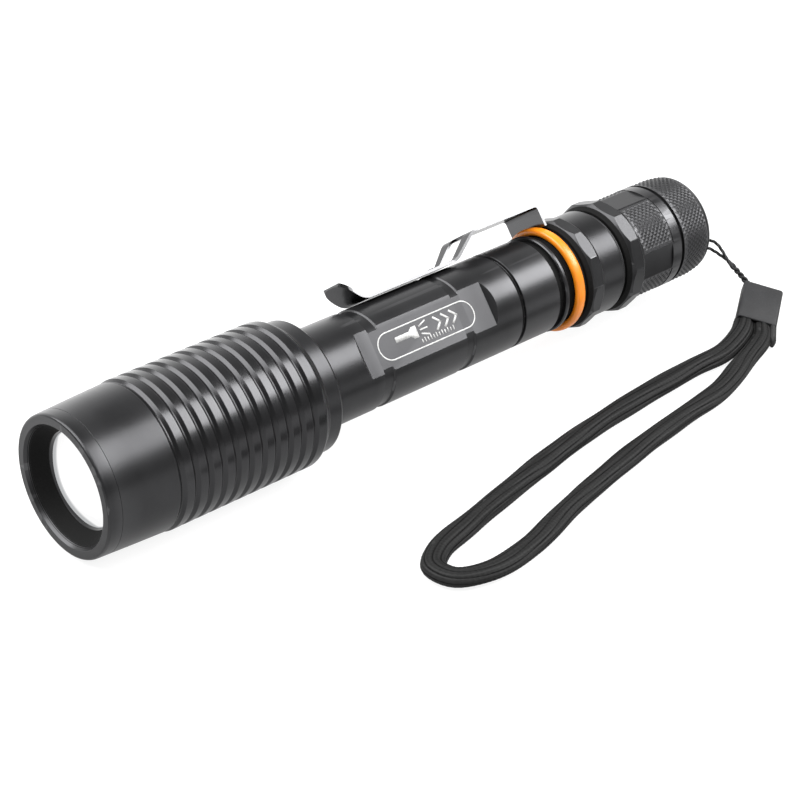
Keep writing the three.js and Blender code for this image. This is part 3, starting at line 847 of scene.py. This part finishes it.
def knurl_patch(name, start, end, first_angle, last_angle, whole=False):
    """Diamond knurl: a shell whose corners rise and fall in turn, split along the valleys."""
    rows = round((end - start) / KNURL_CELL)
    columns = 2 * round((last_angle - first_angle) * GRIP_RADIUS / KNURL_CELL / 2)
    wraps = columns if whole else columns + 1
    verts, faces = [], []
    for layer in (0, 1):
        for i in range(rows + 1):
            place = start + (end - start) * i / rows
            for j in range(wraps):
                angle = first_angle + (last_angle - first_angle) * j / columns
                edge = i in (0, rows) or (not whole and j in (0, columns))
                radius = grip_profile(place) - KNURL_HEIGHT * ((i + j) % 2 == 0 or edge)
                radius -= 0.5 * layer
                verts.append((place, -radius * math.sin(angle), radius * math.cos(angle)))

    def corner(i, j, layer):
        return layer * (rows + 1) * wraps + i * wraps + j % wraps

    for i in range(rows):
        for j in range(columns):
            a, b = corner(i, j, 0), corner(i + 1, j, 0)
            c, d = corner(i + 1, j + 1, 0), corner(i, j + 1, 0)
            if (i + j) % 2 == 0:
                faces += [(a, b, c), (a, c, d)]
            else:
                faces += [(a, b, d), (b, c, d)]
            faces.append(tuple(corner(p, q, 1) for p, q in
                               ((i, j), (i, j + 1), (i + 1, j + 1), (i + 1, j))))
    for j in range(columns):
        for i in (0, rows):
            faces.append((corner(i, j, 0), corner(i, j + 1, 0),
                          corner(i, j + 1, 1), corner(i, j, 1)))
    if not whole:
        for i in range(rows):
            for j in (0, columns):
                faces.append((corner(i, j, 0), corner(i + 1, j, 0),
                              corner(i + 1, j, 1), corner(i, j, 1)))
    return new_piece(name, verts, faces)


KNURL_FLATS = (35, 125, 215, 305)  # degrees round the axis from the clip towards the label
FLAT_HALF_ANGLE = 14.8  # degrees that a flat takes on either side of its middle


def tail_cap():
    start, end = span("tail_cap")
    bed = GRIP_RADIUS - KNURL_BED
    outline = [
        (start, 15.2), (start + SHADE_PAINTED_CHAMFER, 16.15), (start + 2.2, 17.1), (195.7, 17.1),
        (197.4, GRIP_RADIUS),
        (213.7, GRIP_RADIUS), (213.7, 14.9), (214.9, 14.9), (214.9, GRIP_RADIUS),
        (215.1, GRIP_RADIUS), (215.2, bed), (EASE_START, bed), (ROUNDING_START, bed - 0.35),
        (226.2, bed - 0.63), (226.5, grip_profile(226.5)), (227.1, 14.65), (227.5, 14.35),
        (end, 14.0), (end, 10.4), (221.6, 10.4), (221.6, 7.7),
        (216.8, 7.7), (216.8, 11.3), (212.7, 11.3), (212.7, THREAD_BORE), (start, THREAD_BORE),
    ]
    cap = turned("cap", outline)
    boolean(cap, facet_prism(start - 1, end + 1, CAP_APOTHEM), "INTERSECT")
    for degrees in KNURL_FLATS:
        turn = Matrix.Rotation(math.radians(degrees), 3, "X")
        boolean(cap, block("flat", (12.4, 20, 4), (203.8, 0, 17.15), turn))
    front, back = FRONT_KNURL[0] - 0.05, FRONT_KNURL[1] + 0.05
    bed_ring = turned("bed", [(front, bed), (front, 18), (back, 18), (back, bed)])
    for degrees in KNURL_FLATS:
        turn = Matrix.Rotation(math.radians(degrees), 3, "X")
        keep = block("keep", (40, 8.4, 30), (204, 0, 15), turn)
        boolean(bed_ring, keep)
    boolean(cap, bed_ring)
    mouth = math.radians(CORD_ANGLE)
    aim = [(s, -r * math.sin(mouth), r * math.cos(mouth)) for s, r in ((229, 13.7), (222.6, 9.5))]
    boolean(cap, rod("cord_hole", aim[0], aim[1], 0.95))
    finish_piece(cap, "tail", ["tail_cap"], "anodised", 0.12)
    # painted shade on the cap's front chamfer in the seam
    paint_front_shade(cap, start)
    spread = math.radians(FLAT_HALF_ANGLE + 0.9)
    turns = [math.radians(d) for d in KNURL_FLATS] + [math.radians(KNURL_FLATS[0]) + TAU]
    patches = [knurl_patch("knurl", *FRONT_KNURL, a + spread, b - spread)
               for a, b in zip(turns, turns[1:])]
    rear = knurl_patch("cap_knurl", *REAR_KNURL, 0, TAU, whole=True)
    merge_into(rear, *patches)
    finish_piece(rear, "tail", None, "anodised", flat=True)
    rear.data.materials[0] = MATERIALS["anodised_knurl"]


def tail_seal():
    start, end = span("tail_o_ring")
    outline = [((start + end) / 2 + 0.6 * math.cos(a), 13.75 + 1.2 * math.sin(a))
               for a in [TAU * k / 20 for k in range(20)]]
    finish_piece(turned("tail_seal", outline), "tube", ["tail_o_ring"], "black_rubber")


def switch_boot():
    low, high = span("switch_boot")
    outline = [(high, 0), (high, 4.6)]
    for k in range(1, 9):
        angle = math.pi / 2 * k / 8
        outline.append((high - 2.4 * (1 - math.cos(angle)), 4.6 + 2.8 * math.sin(angle)))
    outline += [(216.4, 7.4), (216.4, 10.8), (low, 10.8), (low, 6.2), (226.2, 6), (227, 5), (227, 0)]
    boot = turned("boot", outline, 96)
    bumps = []
    for ring, count in ((0, 1), (1.5, 6), (3.0, 12)):
        for k in range(count):
            angle = TAU * k / count
            bump = turned("bump", [(high - 0.1, 0), (high - 0.1, 0.45), (high + 0.12, 0.3),
                                   (high + 0.18, 0)], 12)
            bump.data.transform(Matrix.Translation((0, ring * math.sin(angle),
                                                    ring * math.cos(angle))))
            bumps.append(bump)
    merge_into(boot, *bumps)
    finish_piece(boot, "button", ["switch_boot"], "black_rubber")


# ---- lanyard --------------------------------------------------------------------------------

CLAMP_LENGTH, CLAMP_WIDTH, CLAMP_THICKNESS = 16.5, 12.2, 5.0
CLAMP_HEADING, CLAMP_PITCH, CLAMP_ROLL = math.radians(34), math.radians(12), math.radians(13)
CLAMP_AXIS = Vector((math.cos(CLAMP_PITCH) * math.cos(CLAMP_HEADING),
                     math.cos(CLAMP_PITCH) * math.sin(CLAMP_HEADING), math.sin(CLAMP_PITCH)))
CLAMP_ACROSS = (Matrix.Rotation(CLAMP_ROLL, 3, CLAMP_AXIS)
                @ Vector((math.sin(CLAMP_HEADING), -math.cos(CLAMP_HEADING), 0)))
CLAMP_UP = CLAMP_ACROSS.cross(CLAMP_AXIS)
CLAMP_MOUTH = Vector((-8.5, -40.2, FLOOR / MM + 4))


def near_clamp(along, across, up=0.0):
    return CLAMP_MOUTH + CLAMP_AXIS * along + CLAMP_ACROSS * across + CLAMP_UP * up


def on_light(place, radius, degrees):
    """Row millimetres of a point on the light."""
    angle = math.radians(degrees)
    point = Vector((place, -radius * math.sin(angle), radius * math.cos(angle)))
    return (LIGHT @ point) / MM


def lanyard_clamp():
    """Crimped clamp: a rounded sleeve, open where the strap enters."""
    half, rise, corner = CLAMP_WIDTH / 2, CLAMP_THICKNESS / 2, 1.0

    def section(shrink):
        points = []
        for sx, sy, turn in ((1, 1, 0), (-1, 1, 90), (-1, -1, 180), (1, -1, 270)):
            for k in range(6):
                angle = math.radians(turn + 90 * k / 5)
                points.append((sx * (half - corner) + (corner - shrink) * math.cos(angle),
                               sy * (rise - corner) + (corner - shrink) * math.sin(angle)))
        return points

    rings = [(5.0, 0.75), (0.0, 0.75), (0.0, 0.25), (0.25, 0.0), (CLAMP_LENGTH - 0.4, 0.0),
             (CLAMP_LENGTH - 0.1, 0.15), (CLAMP_LENGTH, 0.45)]  # distance along, shrink
    verts, faces = [], []
    count = 24
    for along, shrink in rings:
        verts += [near_clamp(along, x, y) for x, y in section(shrink)]
    for k in range(len(rings) - 1):
        for n in range(count):
            a, b = k * count + n, k * count + (n + 1) % count
            faces.append((a, b, b + count, a + count))
    faces.append(tuple(range(count)))
    faces.append(tuple(range(len(verts) - count, len(verts))))
    finish_piece(new_piece("strap_clamp", verts, faces), "strap", ["lanyard_clamp"],
                 "clamp_plastic", to_row=ROW)


# Middle line of the strap on the floor, in row x and y, from one leg round the loop to the other.
# Placed by the photograph, because the strap's box doesn't say how the loop runs.
STRAP_FLOOR = (
    (-25.3, -42.9), (-39, -43.1), (-68, -45.2), (-96, -49), (-124, -55), (-144, -59.8),
    (-159, -64), (-165, -69), (-164, -75.5), (-155.5, -79.2), (-140, -78), (-119.5, -72),
    (-89, -64.6), (-64, -60.4), (-43, -57), (-27, -51.2),
)


def braid_height(along, angle):
    """Height of the puckered braid: long drifting ridges crossed by fine slanting strands."""
    drift = 0.9 * math.sin(along * 0.11) + 0.5 * math.sin(along * 0.043 + 1)
    ridges = abs(math.sin(4.5 * angle + drift)) ** 0.7
    strands = math.sin(9 * angle + along * 2.4) * math.sin(9 * angle - along * 2.4)
    return 0.72 * ridges + 0.28 * (0.5 + 0.5 * strands)


def wrist_strap():
    """Braided loop on the floor, pinched at the clamp, with a cut end beside it."""
    rest = FLOOR / MM + STRAP_THICKNESS / 2
    left, right = -3.5, 1.7  # where the two legs leave the clamp
    points = [near_clamp(4.6, left + 0.2), near_clamp(0.3, left), near_clamp(-5, left - 0.2)]
    points += [Vector((x, y, rest)) for x, y in STRAP_FLOOR]
    points += [near_clamp(-5, right + 0.7), near_clamp(0.3, right), near_clamp(4.6, right - 0.2)]
    count = 720
    line, length = smooth_line(points, count)

    def section(k, angle):
        along = length * k / (count - 1)
        to_clamp = min(along, length - along)
        pinch = 1 - 0.30 * max(0.0, 1 - to_clamp / 16) ** 1.5
        pinch_up = 1 - 0.30 * max(0.0, 1 - to_clamp / 12) ** 2
        wander = 1 + 0.035 * math.sin(along * 0.13 + 0.6) + 0.025 * math.sin(along * 0.31)
        crease = 0.10 * math.exp(-((math.cos(angle - 1.25)) / 0.22) ** 2) * (math.sin(angle) > 0)
        raised = 0.32 * braid_height(along, angle) - 0.32 - crease
        return ((STRAP_WIDTH / 2 * wander * pinch + raised) * math.cos(angle),
                (STRAP_THICKNESS / 2 * pinch_up + raised) * math.sin(angle))

    strap = swept("braided_strap", line, 108, section)
    steps = 24
    stub, _ = smooth_line([near_clamp(4, 4.9), near_clamp(0, 5.3), near_clamp(-6.2, 6)], steps)

    def cut_end(k, angle):
        size = 1.2 * min(1, (steps - k) / 5) ** 0.5
        return size * math.cos(angle), 2 * size * math.sin(angle)

    merge_into(strap, swept("cut_end", stub, 20, cut_end))
    finish_piece(strap, "strap", ["wrist_strap"], "strap_fabric", to_row=ROW)


def tether_cord():
    """One loop of cord: out of the clamp, through the hole in the tail cap and back."""
    entry = -CLAMP_WIDTH / 2 + 2
    foot = near_clamp(CLAMP_LENGTH + 1, entry)
    outer = on_light(231.2, 17, CORD_ANGLE + 3.4)
    inner = on_light(231.2, 14, CORD_ANGLE - 6.3)
    rise = (outer + inner) / 2 - foot
    aside = rise.cross(Vector((0, 0, 1))).normalized()
    lift = aside.cross(rise).normalized()
    steps = range(9)  # quarter turns of the two strands round each other
    centres = [foot + rise * 0.06 * k for k in steps]
    turns = [TAU * k / 4 for k in steps]
    offsets = [(aside * math.cos(t) + lift * math.sin(t)) * 0.47 for t in turns]
    points = [near_clamp(CLAMP_LENGTH - 1.5, entry + 0.5)]
    points += [centre + offset for centre, offset in zip(centres, offsets)]
    points += [outer, on_light(229, 13.7, CORD_ANGLE), on_light(227.2, 12.5, CORD_ANGLE)]
    points += [on_light(224.2, 10.55, CORD_ANGLE), on_light(223.4, 9.5, CORD_ANGLE)]
    points += [on_light(224.1, 8.7, CORD_ANGLE), on_light(226, 8.7, CORD_ANGLE)]
    points += [on_light(229, 9.8, CORD_ANGLE - 3.4), inner]
    points += [centre - offset for centre, offset in reversed(list(zip(centres, offsets)))]
    points += [near_clamp(CLAMP_LENGTH - 1.5, entry - 0.5)]
    count = 420
    line, length = smooth_line(points, count)

    def section(k, angle):
        twist = length * k / (count - 1) * TAU / 2.2
        lobes = 1 + 0.14 * math.cos(3 * angle + twist)
        return CORD_RADIUS * lobes * math.cos(angle), CORD_RADIUS * lobes * math.sin(angle)

    cord = swept("twisted_cord", line, 18, section)
    cord.data.transform(ROW)
    cord.data.materials.append(MATERIALS["cord_fabric"])
    for face in cord.data.polygons:
        face.use_smooth = True
    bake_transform(cord)
    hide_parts("tether_cord")


# ---- inner parts ----------------------------------------------------------------------------

def inner_parts():
    """The parts inside keep their CAD shape and get their finish."""
    slots = {part["node"]: part["material_slot"] for part in frame["record"]["subparts"]}
    for name, piece in frame["nodes"].items():
        if piece.hide_render:
            continue
        piece.data.materials.clear()
        piece.data.materials.append(MATERIALS[slots[name]])


# ---- stage ----------------------------------------------------------------------------------

def stage():
    """Pale floor, even to the camera; reflections see it dim in front and bright behind."""
    half = 6.0
    z = FLOOR - 0.0002
    floor = new_piece("floor", [(-half, -half, z), (half, -half, z), (half, half, z),
                                (-half, half, z)], [(0, 1, 2, 3)])
    n = Nodes("floor_white")
    grain = n.noise(400, 3)
    n.link(n.colours(grain, (0.3, (0.19, 0.19, 0.19)), (0.7, (0.21, 0.21, 0.21))),
           n.shader.inputs["Base Color"])
    n.set(Roughness=0.9, Specular_IOR_Level=0.1)
    n.shader.inputs["Emission Color"].default_value = (1, 1, 1, 1)
    seen = n.add("ShaderNodeLightPath").outputs["Is Camera Ray"]
    across = n.add("ShaderNodeSeparateXYZ")
    n.link(n.place, across.inputs["Vector"])
    behind = n.spread(across.outputs["Y"], 0.03, 0.12, 0.5, 1.3)
    glow = n.add("ShaderNodeMix", data_type="FLOAT")
    n.link(seen, glow.inputs["Factor"])
    n.link(behind, glow.inputs["A"])
    glow.inputs["B"].default_value = 0.88
    n.link(glow.outputs["Result"], n.shader.inputs["Emission Strength"])
    floor.data.materials.append(n.material)


LIGHT_MIDDLE = (FRONT / 2, 0, 0)


def mounted(name, data, right, up, back, place):
    """Object for a light or camera at a place, its own axes along right, up and back."""
    holder = bpy.data.objects.new(name, data)
    bpy.context.scene.collection.objects.link(holder)
    turn = Matrix((right, up, back)).transposed().to_4x4()
    holder.matrix_world = Matrix.Translation(place) @ turn
    return holder


def soft_light(name, offset, aim, size, power, side):
    """Softbox at an offset from the light's middle, facing the axis at aim; size_y lies along side."""
    lamp = bpy.data.lights.new(name, "AREA")
    lamp.shape = "RECTANGLE"
    lamp.size, lamp.size_y = size
    lamp.energy = power
    place = Vector(LIGHT_MIDDLE) + Vector(offset)
    back = (Vector(offset) - Vector((aim, 0, 0))).normalized()
    across = Vector(side).cross(back).normalized()
    mounted(name, lamp, across, back.cross(across), back, place)


BACKDROP = Vector((0.35, 0.93, 0.1)).normalized()


def world():
    """White surroundings for the camera; reflections see a pale backdrop behind a dim room."""
    sky = bpy.data.worlds.new("studio")
    bpy.context.scene.world = sky
    sky.use_nodes = True
    tree = sky.node_tree
    tree.nodes.clear()
    coord = tree.nodes.new("ShaderNodeTexCoord")
    towards = tree.nodes.new("ShaderNodeVectorMath")
    towards.operation = "DOT_PRODUCT"
    towards.inputs[1].default_value = BACKDROP
    ramp = tree.nodes.new("ShaderNodeValToRGB")
    levels = ((0.0, 0.2), (0.35, 0.22), (0.56, 0.45), (0.72, 0.7), (0.87, 1.2), (1.0, 1.9))
    while len(ramp.color_ramp.elements) < len(levels):
        ramp.color_ramp.elements.new(0.5)
    for element, (position, level) in zip(ramp.color_ramp.elements, levels):
        element.position = position
        element.color = (level, level, level, 1)
    path = tree.nodes.new("ShaderNodeLightPath")
    mix = tree.nodes.new("ShaderNodeMix")
    mix.data_type = "RGBA"
    mix.inputs["B"].default_value = (1, 1, 1, 1)
    background = tree.nodes.new("ShaderNodeBackground")
    output = tree.nodes.new("ShaderNodeOutputWorld")
    tree.links.new(coord.outputs["Generated"], towards.inputs[0])
    tree.links.new(towards.outputs["Value"], ramp.inputs["Fac"])
    tree.links.new(ramp.outputs["Color"], mix.inputs["A"])
    tree.links.new(path.outputs["Is Camera Ray"], mix.inputs["Factor"])
    tree.links.new(mix.outputs["Result"], background.inputs["Color"])
    tree.links.new(background.outputs[0], output.inputs["Surface"])


def camera():
    """Camera at the photograph's viewing angle, placed from the front rim."""
    eye = Vector((FRONT - 0.2841, -0.4400, 0.3230))
    forward = Vector((0.5818, 0.6424, -0.4988)).normalized()
    right = forward.cross(Vector((0, 0, 1))).normalized()
    up = right.cross(forward)
    data = bpy.data.cameras.new("camera")
    data.lens = 109.13
    data.sensor_width = 36
    bpy.context.scene.camera = mounted("camera", data, right, up, -forward, eye)


bezel()
lens()
head_sleeve()
tube()
label()
grip_ring()
pocket_clip()
rear_collar()
tail_cap()
tail_seal()
switch_boot()
lanyard_clamp()
wrist_strap()
tether_cord()
inner_parts()
stage()
world()
# the key lights the rear of the head and the tube, the front light the head's front band
soft_light("key", (0.88, -0.514, 0.792), 0.88, (1.05, 0.65), 24, (0, -0.839, -0.545))
soft_light("front", (0.04, -0.56, 0.76), 0.04, (0.60, 0.76), 5.4, (0, -0.81, -0.59))
soft_light("top", (-0.55, 0.39, 0.94), 0.0, (0.9, 1.5), 28, (0, 0.9, -0.4))
camera()
bpy.context.scene.view_settings.view_transform = "Standard"
